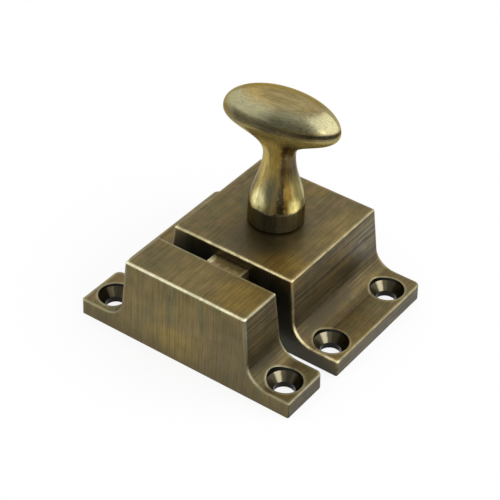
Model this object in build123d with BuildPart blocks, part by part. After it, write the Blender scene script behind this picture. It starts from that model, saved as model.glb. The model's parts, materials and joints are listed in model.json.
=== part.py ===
"""Cupboard turn latch: a cast case with an oval knob, a spring bolt inside it, and a cast keeper.

Millimetres, +Z away from the door. The origin is on the mounting face, on the knob's axis,
which is also the centre of the case's four screw holes. X runs along the keeper, and the
bolt points along -Y, into the keeper.
"""

import math
import os

from build123d import *

os.makedirs("parts", exist_ok=True)

# Case, a hat-shaped casting that is hollow from behind
CASE_LENGTH = 50.8
CASE_DEPTH = 29.2
CASE_HEIGHT = 17.5
TOP_WIDTH = 27.8
SIDE_DRAFT = 1.3
FLANGE_THICKNESS = 3.5
FOOT_RADIUS = 4.5
EDGE_ROUND = 0.35
REAR_CORNER_RADIUS = 1.3
REAR_DRAFT = 5.0
WALL = 2.0
TOP_PLATE = 1.8

# Keeper, a shorter length of the same hat shape, on the other door or the frame
KEEPER_LENGTH = 49.4
KEEPER_DEPTH = 10.1
KEEPER_HEIGHT = 18.1
KEEPER_GAP = 5.2
MOUTH_WIDTH = 11.0
MOUTH_SILL = 6.0

# Holes for countersunk wood screws
SCREW_HOLE_RADIUS = 2.1
COUNTERSINK_RADIUS = 3.5
COUNTERSINK_ANGLE = 82
HEAD_SEAT_DEPTH = 0.6
CASE_HOLE_SPACING_X = 41.9
CASE_HOLE_SPACING_Y = 20.2
KEEPER_HOLE_SPACING = 40.6

# Knob, heights above the case's top face
KNOB_CLEARANCE = 0.1
COLLAR_RADIUS = 5.65
COLLAR_HEIGHT = 4.2
COLLAR_CHAMFER = 0.3
NECK_RADIUS = 3.2
NECK_HEIGHT = 15.4
HEAD_LENGTH = 24.2
HEAD_WIDTH = 10.6
RIM_HEIGHT = 23.3
HEAD_TOP_HEIGHT = 29.7
HEAD_TURN = 9.5
HEAD_SECTIONS = 9

# Handles of the curves from collar to neck, and from neck to rim along and across the head
STEM_TAPER = 0.3
COLLAR_HANDLE = 3.6
NECK_HANDLE = 4.6
LENGTH_HANDLES = (5.1, 4.0)
WIDTH_HANDLES = (6.6, 2.6)
HALVINGS = 40

# Spindle, cam and what holds them
SPINDLE_RADIUS = 2.2
RUNNING_CLEARANCE = 0.05
BOSS_RADIUS = 3.2
BOSS_HEIGHT = 2.85
WASHER_THICKNESS = 0.3
WASHER_RADIUS = 3.1
CAM_THICKNESS = 3.4
CAM_HALF_WIDTH = 3.2
SQUARE_SIDE = 3.0
CLOSE_FIT = 0.03
SHOULDER_STEPS = 6
CAM_SCREW_RADIUS = 1.0
CAM_SCREW_HEAD_RADIUS = 2.4
CAM_SCREW_HEAD_HEIGHT = 1.6
CAM_SCREW_HEAD_ROUND = 0.7
CAM_SCREW_SLOT = (0.7, 0.8)
CAM_SCREW_REACH = 5.0

# Bolt: its stroke goes with 60 degrees of the knob, in proportion
KNOB_RANGE = 60.0
BOLT_STROKE = 4.0
BOLT_WIDTH = 8.0
BOLT_HEIGHT = 7.0
BOLT_REACH = 3.2
BOLT_NOSE = 1.6
NOSE_ROUND = 0.4
BEVEL_LENGTH = 6.5
BOLT_CLEARANCE = 0.3
SLOT_SIDE_CLEARANCE = 0.2
TAIL_WIDTH = 16.0
TAIL_THICKNESS = 2.5
TAIL_SHOULDER_GAP = 0.2
LUG_THICKNESS = 3.0
LUG_DROP = 3.5
CAM_GAP = 0.15
TONGUE_REAR = -11.6

# Return springs, between the bolt's rear lug and the case's rear wall
SPRING_SPREAD = 10.0
SPRING_COIL_RADIUS = 1.7
SPRING_WIRE_RADIUS = 0.175
SPRING_WIRE_SIDES = 8
SPRING_TURNS = 5.5
SPRING_POCKET_RADIUS = 2.15
SPRING_POCKET_DEPTH = 1.5
SPRING_STUB_RADIUS = 1.1
SPRING_STUB_LENGTH = 1.8
SPRING_SEAT_GAP = 0.02

# Back plate and its screws
BACK_PLATE_THICKNESS = 0.9
BACK_PLATE_RECESS = 1.0
BACK_PLATE_LEDGE = 1.0
BACK_PLATE_FIT = 0.1
BACK_PLATE_RIM = 0.6
BACK_PLATE_CORNER = 0.9
POST_RADIUS = 2.1
POST_SPACING_X = 22.6
POST_SPACING_Y = 20.8
PLATE_SCREW_RADIUS = 0.8
PLATE_SCREW_HEAD_RADIUS = 1.6
PLATE_SCREW_LENGTH = 4.0
PLATE_SCREW_SLOT = (0.4, 0.4)

# Levels and faces that follow
CASE_FRONT = -CASE_DEPTH / 2
CASE_REAR = CASE_DEPTH / 2
FRONT_WALL_INSIDE = CASE_FRONT + WALL
REAR_WALL_INSIDE = CASE_REAR - WALL
PLATE_UNDERSIDE = CASE_HEIGHT - TOP_PLATE
KEEPER_REAR = CASE_FRONT - KEEPER_GAP
KEEPER_FRONT = KEEPER_REAR - KEEPER_DEPTH
KEEPER_CENTRE = (KEEPER_REAR + KEEPER_FRONT) / 2
BOLT_TOP = PLATE_UNDERSIDE - BOLT_CLEARANCE
BOLT_BOTTOM = BOLT_TOP - BOLT_HEIGHT
BOLT_TIP = KEEPER_REAR - BOLT_REACH
TAIL_BOTTOM = BOLT_TOP - TAIL_THICKNESS
BOSS_BOTTOM = PLATE_UNDERSIDE - BOSS_HEIGHT
CAM_TOP = BOSS_BOTTOM - RUNNING_CLEARANCE - WASHER_THICKNESS
CAM_BOTTOM = CAM_TOP - CAM_THICKNESS
LUG_FRONT = CAM_HALF_WIDTH + CAM_GAP
LUG_REAR = LUG_FRONT + LUG_THICKNESS
SPRING_LEVEL = TAIL_BOTTOM - LUG_DROP / 2
KNOB_BASE = CASE_HEIGHT + KNOB_CLEARANCE
PLATE_BOTTOM = BACK_PLATE_RECESS - BACK_PLATE_THICKNESS
RECESS_LENGTH = TOP_WIDTH + 2 * (SIDE_DRAFT - WALL + BACK_PLATE_LEDGE)
RECESS_DEPTH = CASE_DEPTH - 2 * (WALL - BACK_PLATE_RIM)

# How a cylinder or a box stands on its place, or hangs from it
STANDING = (Align.CENTER, Align.CENTER, Align.MIN)
HANGING = (Align.CENTER, Align.CENTER, Align.MAX)
SELECT_MARGIN = 0.1


def hat_outline(length, height):
    """Right half, then mirrored: flange, foot corner and drafted side of the hat section."""
    foot = TOP_WIDTH / 2 + SIDE_DRAFT
    right = [
        (0, 0),
        (length / 2, 0),
        (length / 2, FLANGE_THICKNESS),
        (foot, FLANGE_THICKNESS),
        (TOP_WIDTH / 2, height),
        (0, height),
    ]
    Polyline(*right)
    mirror(about=Plane.YZ)


def hollow_outline(height):
    """Inside of the hat section: a wall in from the sides, and open at the mounting face."""
    foot = TOP_WIDTH / 2 + SIDE_DRAFT - WALL
    corner = TOP_WIDTH / 2 - WALL
    Polyline(
        (0, 0),
        (foot, 0),
        (foot, FLANGE_THICKNESS),
        (corner, height - TOP_PLATE),
        (0, height - TOP_PLATE),
    )
    mirror(about=Plane.YZ)


def foot_corners(sketch):
    """The two corners where the sides meet the flanges."""
    low, high = FLANGE_THICKNESS - SELECT_MARGIN, FLANGE_THICKNESS + SELECT_MARGIN
    level = sketch.vertices().filter_by_position(Axis.Y, low, high)
    return level.sort_by(lambda corner: abs(corner.X))[:2]


def worn_edges(casting):
    """The edges round the top, the front and the rear, without those on the mounting face."""
    faces = casting.faces()
    shown = faces.sort_by(Axis.Z)[-1].edges()
    shown = shown + faces.sort_by(Axis.Y)[0].edges() + faces.sort_by(Axis.Y)[-1].edges()
    return [edge for edge in set(shown) if edge.center().Z > SELECT_MARGIN]


def hat_casting(length, depth, height, centre):
    """A length of the hat section about a place on Y, hollow from behind, its edges worn round.

    Its rear is drafted: the depth is that of the top, and the mounting face is deeper.
    """
    middle = Plane.XZ.offset(-centre)
    front = Plane.XZ.offset(depth / 2 - centre)
    lean = math.radians(REAR_DRAFT)
    rear = Plane(
        origin=(0, centre + depth / 2, height),
        z_dir=(0, math.cos(lean), math.sin(lean)),
    )
    with BuildPart() as casting:
        with BuildSketch(front) as section:
            with BuildLine():
                hat_outline(length, height)
            make_face()
            fillet(foot_corners(section), FOOT_RADIUS)
        extrude(amount=-depth - height * math.tan(lean))
        split(bisect_by=rear, keep=Keep.BOTTOM)
        rear_edges = casting.faces().sort_by(Axis.Y)[-1].edges().sort_by(Axis.X)
        fillet([rear_edges[0], rear_edges[-1]], REAR_CORNER_RADIUS)
        fillet(worn_edges(casting), EDGE_ROUND)
        with BuildSketch(middle):
            with BuildLine():
                hollow_outline(height)
            make_face()
        extrude(amount=depth / 2 - WALL, both=True, mode=Mode.SUBTRACT)
    return casting.part


def sunk_screw_hole():
    """A hole through the flange for a wood screw, its cone below a short straight seat."""
    with Locations((0, 0, FLANGE_THICKNESS)):
        Hole(COUNTERSINK_RADIUS, depth=HEAD_SEAT_DEPTH)
    with Locations((0, 0, FLANGE_THICKNESS - HEAD_SEAT_DEPTH)):
        CounterSinkHole(
            SCREW_HOLE_RADIUS,
            COUNTERSINK_RADIUS,
            depth=FLANGE_THICKNESS - HEAD_SEAT_DEPTH,
            counter_sink_angle=COUNTERSINK_ANGLE,
        )


# Case
case_casting = hat_casting(CASE_LENGTH, CASE_DEPTH, CASE_HEIGHT, 0)
with BuildPart() as case:
    add(case_casting)
    # Boss that the spindle turns in
    with Locations((0, 0, PLATE_UNDERSIDE)):
        Cylinder(BOSS_RADIUS, BOSS_HEIGHT, align=HANGING)
    # Posts for the back plate's screws
    post_height = PLATE_UNDERSIDE - BACK_PLATE_RECESS
    with Locations((0, 0, BACK_PLATE_RECESS)):
        with GridLocations(POST_SPACING_X, POST_SPACING_Y, 2, 2):
            Cylinder(POST_RADIUS, post_height, align=STANDING)
    # Stubs that the springs sit on
    with BuildSketch(Plane.XZ.offset(-REAR_WALL_INSIDE)):
        with Locations((0, SPRING_LEVEL)):
            with GridLocations(SPRING_SPREAD, 0, 2, 1):
                Circle(SPRING_STUB_RADIUS)
    extrude(amount=SPRING_STUB_LENGTH)
    # Recess for the back plate
    with BuildSketch():
        RectangleRounded(RECESS_LENGTH, RECESS_DEPTH, BACK_PLATE_CORNER + BACK_PLATE_FIT)
    extrude(amount=BACK_PLATE_RECESS, mode=Mode.SUBTRACT)
    # Slot that the bolt comes out of
    with BuildSketch(Plane.XZ.offset(-FRONT_WALL_INSIDE)):
        with Locations((0, PLATE_UNDERSIDE)):
            slot_height = PLATE_UNDERSIDE - BOLT_BOTTOM + BOLT_CLEARANCE
            Rectangle(
                BOLT_WIDTH + 2 * SLOT_SIDE_CLEARANCE,
                slot_height,
                align=(Align.CENTER, Align.MAX),
            )
    extrude(amount=WALL, mode=Mode.SUBTRACT)
    # Spindle bore, screw holes and tapped holes in the posts
    with Locations((0, 0, CASE_HEIGHT)):
        Hole(SPINDLE_RADIUS + RUNNING_CLEARANCE, depth=TOP_PLATE + BOSS_HEIGHT)
    with GridLocations(CASE_HOLE_SPACING_X, CASE_HOLE_SPACING_Y, 2, 2):
        sunk_screw_hole()
    with Locations(Location((0, 0, BACK_PLATE_RECESS), (180, 0, 0))):
        with GridLocations(POST_SPACING_X, POST_SPACING_Y, 2, 2):
            Hole(PLATE_SCREW_RADIUS, depth=PLATE_SCREW_LENGTH)
case.part.label = "case"
export_step(case.part, "parts/case.step")


# Keeper
keeper_casting = hat_casting(KEEPER_LENGTH, KEEPER_DEPTH, KEEPER_HEIGHT, KEEPER_CENTRE)
with BuildPart() as keeper:
    add(keeper_casting)
    # Mouth for the bolt, up to the underside of the top plate
    with BuildSketch(Plane.XZ.offset(-KEEPER_REAR)):
        with Locations((0, KEEPER_HEIGHT - TOP_PLATE)):
            Rectangle(
                MOUTH_WIDTH,
                KEEPER_HEIGHT - TOP_PLATE - MOUTH_SILL,
                align=(Align.CENTER, Align.MAX),
            )
    extrude(amount=WALL, both=True, mode=Mode.SUBTRACT)
    with Locations((0, KEEPER_CENTRE, 0)):
        with GridLocations(KEEPER_HOLE_SPACING, 0, 2, 1):
            sunk_screw_hole()
keeper.part.label = "keeper"
export_step(keeper.part, "parts/keeper.step")


def bezier_value(start, start_handle, end_handle, end, t):
    """One coordinate of a cubic Bezier curve at t."""
    s = 1 - t
    return s**3 * start + 3 * s * s * t * start_handle + 3 * s * t * t * end_handle + t**3 * end


def flare_radius(rim_radius, handles, height):
    """Half-width of the head's underside at a height between the neck and the rim.

    The flare is a Bezier curve that leaves the neck and meets the rim upright, so the height
    rises with t, and halving steps find the t that has this height.
    """
    start_handle = NECK_HEIGHT + handles[0]
    end_handle = RIM_HEIGHT - handles[1]
    low, high = 0.0, 1.0
    for _ in range(HALVINGS):
        t = (low + high) / 2
        if bezier_value(NECK_HEIGHT, start_handle, end_handle, RIM_HEIGHT, t) < height:
            low = t
        else:
            high = t
    return bezier_value(NECK_RADIUS, NECK_RADIUS, rim_radius, rim_radius, t)


# Knob: collar, stem and spindle turned as one, under an oval head
half_ball = Sphere(1, arc_size1=0, arc_size2=90, align=STANDING)
dome = scale(half_ball, by=(HEAD_LENGTH / 2, HEAD_WIDTH / 2, HEAD_TOP_HEIGHT - RIM_HEIGHT))
with BuildPart() as knob:
    # Head's underside, from the round neck out to the oval rim
    for step in range(HEAD_SECTIONS):
        section_height = NECK_HEIGHT + (RIM_HEIGHT - NECK_HEIGHT) * step / (HEAD_SECTIONS - 1)
        half_length = flare_radius(HEAD_LENGTH / 2, LENGTH_HANDLES, section_height)
        half_width = flare_radius(HEAD_WIDTH / 2, WIDTH_HANDLES, section_height)
        with BuildSketch(Plane.XY.offset(KNOB_BASE + section_height)):
            Ellipse(half_length, half_width, rotation=HEAD_TURN)
    loft()
    with Locations(Location((0, 0, KNOB_BASE + RIM_HEIGHT), (0, 0, HEAD_TURN))):
        add(dome)
    # Collar and waisted stem
    collar_top = KNOB_BASE + COLLAR_HEIGHT
    neck_top = KNOB_BASE + NECK_HEIGHT
    with BuildSketch(Plane.XZ):
        with BuildLine():
            Polyline(
                (0, neck_top),
                (0, KNOB_BASE),
                (COLLAR_RADIUS - COLLAR_CHAMFER, KNOB_BASE),
                (COLLAR_RADIUS, KNOB_BASE + COLLAR_CHAMFER),
                (COLLAR_RADIUS, collar_top),
            )
            Bezier(
                (COLLAR_RADIUS, collar_top),
                (COLLAR_RADIUS - STEM_TAPER, collar_top + COLLAR_HANDLE),
                (NECK_RADIUS, neck_top - NECK_HANDLE),
                (NECK_RADIUS, neck_top),
            )
            Line((NECK_RADIUS, neck_top), (0, neck_top))
        make_face()
    revolve(axis=Axis.Z)
    # Spindle, round in the boss and square in the cam, tapped at its end
    with Locations((0, 0, CAM_TOP)):
        Cylinder(SPINDLE_RADIUS, KNOB_BASE - CAM_TOP, align=STANDING)
    square_length = CAM_THICKNESS - RUNNING_CLEARANCE
    with Locations((0, 0, CAM_TOP)):
        Box(SQUARE_SIDE, SQUARE_SIDE, square_length, align=HANGING)
    with Locations(Location((0, 0, CAM_TOP - square_length), (180, 0, 0))):
        Hole(CAM_SCREW_RADIUS + CLOSE_FIT, depth=CAM_SCREW_REACH + RUNNING_CLEARANCE)
knob.part.label = "knob"
export_step(knob.part, "parts/knob.step")


# Thrust washer, between the boss and the cam
with BuildPart() as thrust_washer:
    with BuildSketch(Plane.XY.offset(CAM_TOP)):
        Circle(WASHER_RADIUS)
        Circle(SPINDLE_RADIUS + RUNNING_CLEARANCE, mode=Mode.SUBTRACT)
    extrude(amount=WASHER_THICKNESS)
thrust_washer.part.label = "thrust_washer"
export_step(thrust_washer.part, "parts/thrust_washer.step")


# Cam: a flat that holds the knob square at rest, and involute shoulders that push the bolt
# back in proportion to the turn
CAM_LIFT = BOLT_STROKE / math.radians(KNOB_RANGE)


def cam_point(angle):
    """Point of the cam whose outward normal is turned by this angle from +Y towards +X."""
    support = CAM_HALF_WIDTH + CAM_LIFT * angle
    return (
        support * math.sin(angle) + CAM_LIFT * math.cos(angle),
        support * math.cos(angle) - CAM_LIFT * math.sin(angle),
    )


with BuildPart() as cam:
    turns = [math.radians(KNOB_RANGE) * step / SHOULDER_STEPS for step in range(SHOULDER_STEPS + 1)]
    shoulder = [cam_point(turn) for turn in turns]
    tip = shoulder[-1]
    with BuildSketch(Plane.XY.offset(CAM_BOTTOM)):
        with BuildLine():
            Line((0, CAM_HALF_WIDTH), shoulder[0])
            Spline(*shoulder)
            Line(tip, (tip[0], 0))
            mirror(about=Plane.XZ)
            mirror(about=Plane.YZ)
        make_face()
        Rectangle(SQUARE_SIDE + 2 * CLOSE_FIT, SQUARE_SIDE + 2 * CLOSE_FIT, mode=Mode.SUBTRACT)
    extrude(amount=CAM_THICKNESS)
cam.part.label = "cam"
export_step(cam.part, "parts/cam.step")


# Screw that holds the cam on the spindle
with BuildPart() as cam_screw:
    with Locations((0, 0, CAM_BOTTOM)):
        Cylinder(CAM_SCREW_RADIUS, CAM_SCREW_REACH, align=STANDING)
        Cylinder(CAM_SCREW_HEAD_RADIUS, CAM_SCREW_HEAD_HEIGHT, align=HANGING)
    fillet(cam_screw.edges().group_by(Axis.Z)[0], CAM_SCREW_HEAD_ROUND)
    with Locations((0, 0, CAM_BOTTOM - CAM_SCREW_HEAD_HEIGHT)):
        Box(2 * CAM_SCREW_HEAD_RADIUS, *CAM_SCREW_SLOT, align=STANDING, mode=Mode.SUBTRACT)
cam_screw.part.label = "cam_screw"
export_step(cam_screw.part, "parts/cam_screw.step")


# Bolt: bevelled tongue, tail plate with a slot for the boss, and a rear lug that the cam pushes
with BuildPart() as bolt:
    with BuildSketch(Plane.YZ) as tongue:
        with BuildLine():
            Polyline(
                (BOLT_TIP, BOLT_TOP),
                (TONGUE_REAR, BOLT_TOP),
                (TONGUE_REAR, BOLT_BOTTOM),
                (BOLT_TIP + BEVEL_LENGTH, BOLT_BOTTOM),
                (BOLT_TIP, BOLT_TOP - BOLT_NOSE),
                close=True,
            )
        make_face()
    extrude(amount=BOLT_WIDTH / 2, both=True)
    fillet(bolt.faces().sort_by(Axis.Y)[0].edges(), NOSE_ROUND)
    tail_front = FRONT_WALL_INSIDE + TAIL_SHOULDER_GAP
    slot_radius = BOSS_RADIUS + BOLT_CLEARANCE
    with BuildSketch(Plane.XY.offset(TAIL_BOTTOM)):
        with Locations((0, (tail_front + LUG_REAR) / 2)):
            Rectangle(TAIL_WIDTH, LUG_REAR - tail_front)
        with Locations((0, -BOLT_STROKE / 2)):
            SlotCenterToCenter(BOLT_STROKE, 2 * slot_radius, rotation=90, mode=Mode.SUBTRACT)
    extrude(amount=TAIL_THICKNESS)
    with Locations((0, LUG_FRONT, TAIL_BOTTOM)):
        Box(TAIL_WIDTH, LUG_THICKNESS, LUG_DROP, align=(Align.CENTER, Align.MIN, Align.MAX))
    # Pockets that hold the springs
    with BuildSketch(Plane.XZ.offset(-LUG_REAR)):
        with Locations((0, SPRING_LEVEL)):
            with GridLocations(SPRING_SPREAD, 0, 2, 1):
                Circle(SPRING_POCKET_RADIUS)
    extrude(amount=SPRING_POCKET_DEPTH, mode=Mode.SUBTRACT)
bolt.part.label = "bolt"
export_step(bolt.part, "parts/bolt.step")


# Springs
seat_front = LUG_REAR - SPRING_POCKET_DEPTH + SPRING_WIRE_RADIUS + SPRING_SEAT_GAP
seat_rear = REAR_WALL_INSIDE - SPRING_WIRE_RADIUS - SPRING_SEAT_GAP
spring_length = seat_rear - seat_front
for side, name in ((-1, "spring_left"), (1, "spring_right")):
    spring_x = side * SPRING_SPREAD / 2
    with BuildPart() as spring:
        with BuildLine():
            wire = Helix(
                pitch=spring_length / SPRING_TURNS,
                height=spring_length,
                radius=SPRING_COIL_RADIUS,
                center=(spring_x, seat_front, SPRING_LEVEL),
                direction=(0, 1, 0),
            )
        with BuildSketch(Plane(wire @ 0, z_dir=wire % 0)):
            RegularPolygon(SPRING_WIRE_RADIUS, SPRING_WIRE_SIDES)
        sweep(is_frenet=True)
    spring.part.label = name
    export_step(spring.part, f"parts/{name}.step")


# Back plate, with holes for its screws
with BuildPart() as back_plate:
    plate_length = RECESS_LENGTH - 2 * BACK_PLATE_FIT
    plate_depth = RECESS_DEPTH - 2 * BACK_PLATE_FIT
    with BuildSketch(Plane.XY.offset(PLATE_BOTTOM)):
        RectangleRounded(plate_length, plate_depth, BACK_PLATE_CORNER)
    extrude(amount=BACK_PLATE_THICKNESS)
    with Locations(Location((0, 0, PLATE_BOTTOM), (180, 0, 0))):
        with GridLocations(POST_SPACING_X, POST_SPACING_Y, 2, 2):
            CounterSinkHole(
                PLATE_SCREW_RADIUS,
                PLATE_SCREW_HEAD_RADIUS,
                depth=BACK_PLATE_THICKNESS,
                counter_sink_angle=COUNTERSINK_ANGLE,
            )
back_plate.part.label = "back_plate"
export_step(back_plate.part, "parts/back_plate.step")


# Back plate's screws
corners = {
    "front_left": (-1, -1),
    "front_right": (1, -1),
    "rear_left": (-1, 1),
    "rear_right": (1, 1),
}
head_radius = PLATE_SCREW_HEAD_RADIUS - CLOSE_FIT
shank_radius = PLATE_SCREW_RADIUS - CLOSE_FIT
head_drop = (head_radius - shank_radius) / math.tan(math.radians(COUNTERSINK_ANGLE / 2))
for corner, (side_x, side_y) in corners.items():
    with BuildPart() as plate_screw:
        with Locations((side_x * POST_SPACING_X / 2, side_y * POST_SPACING_Y / 2, PLATE_BOTTOM)):
            Cylinder(shank_radius, PLATE_SCREW_LENGTH, align=STANDING)
            Cone(head_radius, shank_radius, head_drop, align=STANDING)
            Box(2 * head_radius, *PLATE_SCREW_SLOT, align=STANDING, mode=Mode.SUBTRACT)
    plate_screw.part.label = f"plate_screw_{corner}"
    export_step(plate_screw.part, f"parts/plate_screw_{corner}.step")
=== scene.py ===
"""Cupboard turn latch in antique brass: a cast case with an oval knob, and a cast keeper."""
import json
import math

import bpy
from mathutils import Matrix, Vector


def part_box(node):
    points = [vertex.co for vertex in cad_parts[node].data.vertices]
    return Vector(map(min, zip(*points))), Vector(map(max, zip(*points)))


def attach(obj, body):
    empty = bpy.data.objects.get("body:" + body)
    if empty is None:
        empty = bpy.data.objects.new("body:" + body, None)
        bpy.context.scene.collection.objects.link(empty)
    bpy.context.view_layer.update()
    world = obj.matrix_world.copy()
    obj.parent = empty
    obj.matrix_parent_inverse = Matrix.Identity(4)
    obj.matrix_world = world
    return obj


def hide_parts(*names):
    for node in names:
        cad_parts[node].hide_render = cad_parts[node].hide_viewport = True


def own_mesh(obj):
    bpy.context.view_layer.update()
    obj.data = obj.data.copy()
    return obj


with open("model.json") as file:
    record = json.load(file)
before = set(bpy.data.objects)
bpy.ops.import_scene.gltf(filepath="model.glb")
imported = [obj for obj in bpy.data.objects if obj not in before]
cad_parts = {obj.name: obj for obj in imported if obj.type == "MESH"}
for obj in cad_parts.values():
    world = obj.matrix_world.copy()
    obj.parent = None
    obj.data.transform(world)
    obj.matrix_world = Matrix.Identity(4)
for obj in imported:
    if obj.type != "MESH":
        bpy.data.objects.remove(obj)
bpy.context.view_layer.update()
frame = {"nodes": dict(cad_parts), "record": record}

MM = 0.001

# Camera: where it looks, and from how far

AIM = Vector((-5.09, -0.86, 7.39)) * MM
AZIMUTH = math.radians(33.775)
ELEVATION = math.radians(38.117)
ROLL = math.radians(2.887)
DISTANCE = 359.6 * MM
SENSOR_WIDTH = 36.0
FOCAL_PIXELS = 1788.9
IMAGE_PIXELS = 500
CLIP_START = 10 * MM
CLIP_END = 20.0


def view_direction(azimuth, elevation):
    """Unit vector from the object towards a place round it: azimuth 0 is in front, 90 at +X."""
    flat = math.cos(elevation)
    return Vector((math.sin(azimuth) * flat, -math.cos(azimuth) * flat, math.sin(elevation)))


def make_camera():
    """The camera at the photo's place, which was fitted to the corners and holes seen in it."""
    back = view_direction(AZIMUTH, ELEVATION)
    right = Vector((math.cos(AZIMUTH), math.sin(AZIMUTH), 0))
    up = back.cross(right)
    rolled_right = right * math.cos(ROLL) + up * math.sin(ROLL)
    rolled_up = up * math.cos(ROLL) - right * math.sin(ROLL)
    data = bpy.data.cameras.new("camera")
    data.sensor_fit = "HORIZONTAL"
    data.sensor_width = SENSOR_WIDTH
    data.lens = FOCAL_PIXELS / IMAGE_PIXELS * SENSOR_WIDTH
    data.clip_start = CLIP_START
    data.clip_end = CLIP_END
    camera = bpy.data.objects.new("camera", data)
    bpy.context.scene.collection.objects.link(camera)
    place = camera.matrix_world.copy()
    for column, axis in enumerate((rolled_right, rolled_up, back)):
        for row in range(3):
            place[row][column] = axis[row]
    place.translation = AIM + back * DISTANCE
    camera.matrix_world = place
    bpy.context.scene.camera = camera


# Helpers for node trees: they take values or sockets, and give back sockets

FLOAT = "NodeSocketFloat"
INTEGER = "NodeSocketInt"
VECTOR = "NodeSocketVector"
GEOMETRY = "NodeSocketGeometry"
MATERIAL = "NodeSocketMaterial"


def set_inputs(tree, node, values):
    """Each of these inputs given its value, or wired to its socket."""
    for key, value in values.items():
        if isinstance(value, bpy.types.NodeSocket):
            tree.links.new(value, node.inputs[key])
        else:
            node.inputs[key].default_value = value


def add(tree, kind, inputs=None, **settings):
    """A node of this kind with its settings and inputs."""
    made = tree.nodes.new(kind)
    for name, value in settings.items():
        setattr(made, name, value)
    set_inputs(tree, made, inputs or {})
    return made


def math_node(tree, operation, *values, clamp=False):
    """The result of a Math node on one to three values."""
    made = add(tree, "ShaderNodeMath", dict(enumerate(values)), operation=operation, use_clamp=clamp)
    return made.outputs[0]


def product(tree, *values):
    """Two or more values multiplied together."""
    result = values[0]
    for value in values[1:]:
        result = math_node(tree, "MULTIPLY", result, value)
    return result


def vector_math(tree, operation, *values):
    """The result of a Vector Math node: a vector, or the number that it measures."""
    made = add(tree, "ShaderNodeVectorMath", dict(enumerate(values)), operation=operation)
    return made.outputs["Value" if operation in ("LENGTH", "DOT_PRODUCT") else "Vector"]


def split(tree, vector):
    """A vector's coordinates, under the names X, Y and Z."""
    return add(tree, "ShaderNodeSeparateXYZ", {0: vector}).outputs


def turned(tree, vector, angle):
    """A vector turned about Z."""
    inputs = {"Vector": vector, "Angle": angle}
    return add(tree, "ShaderNodeVectorRotate", inputs, rotation_type="Z_AXIS").outputs[0]


def mix(tree, factor, first, second):
    """Two numbers mixed by a factor."""
    made = add(tree, "ShaderNodeMix", {0: factor, 2: first, 3: second}, data_type="FLOAT")
    return made.outputs[0]


def ease(tree, value, low, high, start=0.0, end=1.0):
    """The value's run from low to high, eased and turned into start to end."""
    made = add(
        tree,
        "ShaderNodeMapRange",
        {0: value, 1: low, 2: high, 3: start, 4: end},
        interpolation_type="SMOOTHSTEP",
    )
    return made.outputs[0]


def between(tree, value, rise, fall):
    """1 where a value is past its rise and short of its fall. Each is a run as ease takes it."""
    return product(tree, ease(tree, value, *rise), ease(tree, value, *fall))


def noise(tree, vector, scale, detail=2.0, roughness=0.5, distortion=0.0):
    """A grey noise from 0 to 1."""
    inputs = {
        "Vector": vector,
        "Scale": scale,
        "Detail": detail,
        "Roughness": roughness,
        "Distortion": distortion,
    }
    return add(tree, "ShaderNodeTexNoise", inputs).outputs["Fac"]


def streaks(tree, vector, scales, detail, roughness=0.5):
    """A grey noise with a scale of its own along each axis, so that it turns to streaks."""
    return noise(tree, vector_math(tree, "MULTIPLY", vector, scales), 1.0, detail, roughness)


def blend_colours(tree, factor, first, second, kind="MIX"):
    """Two colours blended by a factor."""
    made = add(
        tree, "ShaderNodeMix", {0: factor, 6: first, 7: second}, data_type="RGBA", blend_type=kind
    )
    return made.outputs[2]


def layered(tree, tone, *layers):
    """A colour with others laid over it in turn, each given as its mask and its colour."""
    for mask, over in layers:
        tone = blend_colours(tree, mask, tone, over)
    return tone


def dimmed(tree, tone, level):
    """A colour multiplied by a level, which may pass 1."""
    grey = add(tree, "ShaderNodeCombineColor", {0: level, 1: level, 2: level})
    return blend_colours(tree, 1.0, tone, grey.outputs[0], "MULTIPLY")


def colour(red, green, blue):
    """A colour given as it is seen, from 0 to 255, turned to the linear values that nodes take."""
    def linear(value):
        part = value / 255
        return part / 12.92 if part <= 0.04045 else ((part + 0.055) / 1.055) ** 2.4

    return (linear(red), linear(green), linear(blue), 1.0)


def colour_ramp(tree, factor, stops):
    """A colour that goes from stop to stop, each given as degrees from the front and a colour."""
    made = add(tree, "ShaderNodeValToRGB", {0: factor})
    ramp = made.color_ramp
    for index, (degrees, tone) in enumerate(stops):
        place = 0.5 + degrees / 360
        if index < 2:
            stop = ramp.elements[index]
            stop.position = place
        else:
            stop = ramp.elements.new(place)
        stop.color = tone
    return made.outputs["Color"]


def bumped(tree, height, strength, depth):
    """A normal for the shader, from a height and how deep it goes."""
    made = add(tree, "ShaderNodeBump", {"Strength": strength, "Distance": depth, "Height": height})
    return made.outputs[0]


def new_group(name, numbers, outputs):
    """A shader group that takes a vector and numbers: its tree, what it is given, its end node."""
    tree = bpy.data.node_groups.new(name, "ShaderNodeTree")
    tree.interface.new_socket("Vector", in_out="INPUT", socket_type=VECTOR)
    for label in numbers:
        tree.interface.new_socket(label, in_out="INPUT", socket_type=FLOAT)
    for label in outputs:
        tree.interface.new_socket(label, in_out="OUTPUT", socket_type=FLOAT)
    return tree, tree.nodes.new("NodeGroupInput").outputs, tree.nodes.new("NodeGroupOutput")


def shared(tree, group, inputs):
    """The outputs of a group that several materials use."""
    return add(tree, "ShaderNodeGroup", inputs, node_tree=group).outputs


# Runs below are given as ease takes them: low and high, then start and end unless 0 and 1

# Brushing: the name, the noise scales across and along the strokes, and the detail of each grain
GRAINS = (("Fine", 8000.0, 200.0, 3.0), ("Coarse", 2900.0, 34.0, 2.0))
GRAIN_ROUGHNESS = 0.6
UPRIGHT_FACING = (0.6, 0.8)
SWAY_SCALE = 220.0
SWAY_REACH = 2 * MM


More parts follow.
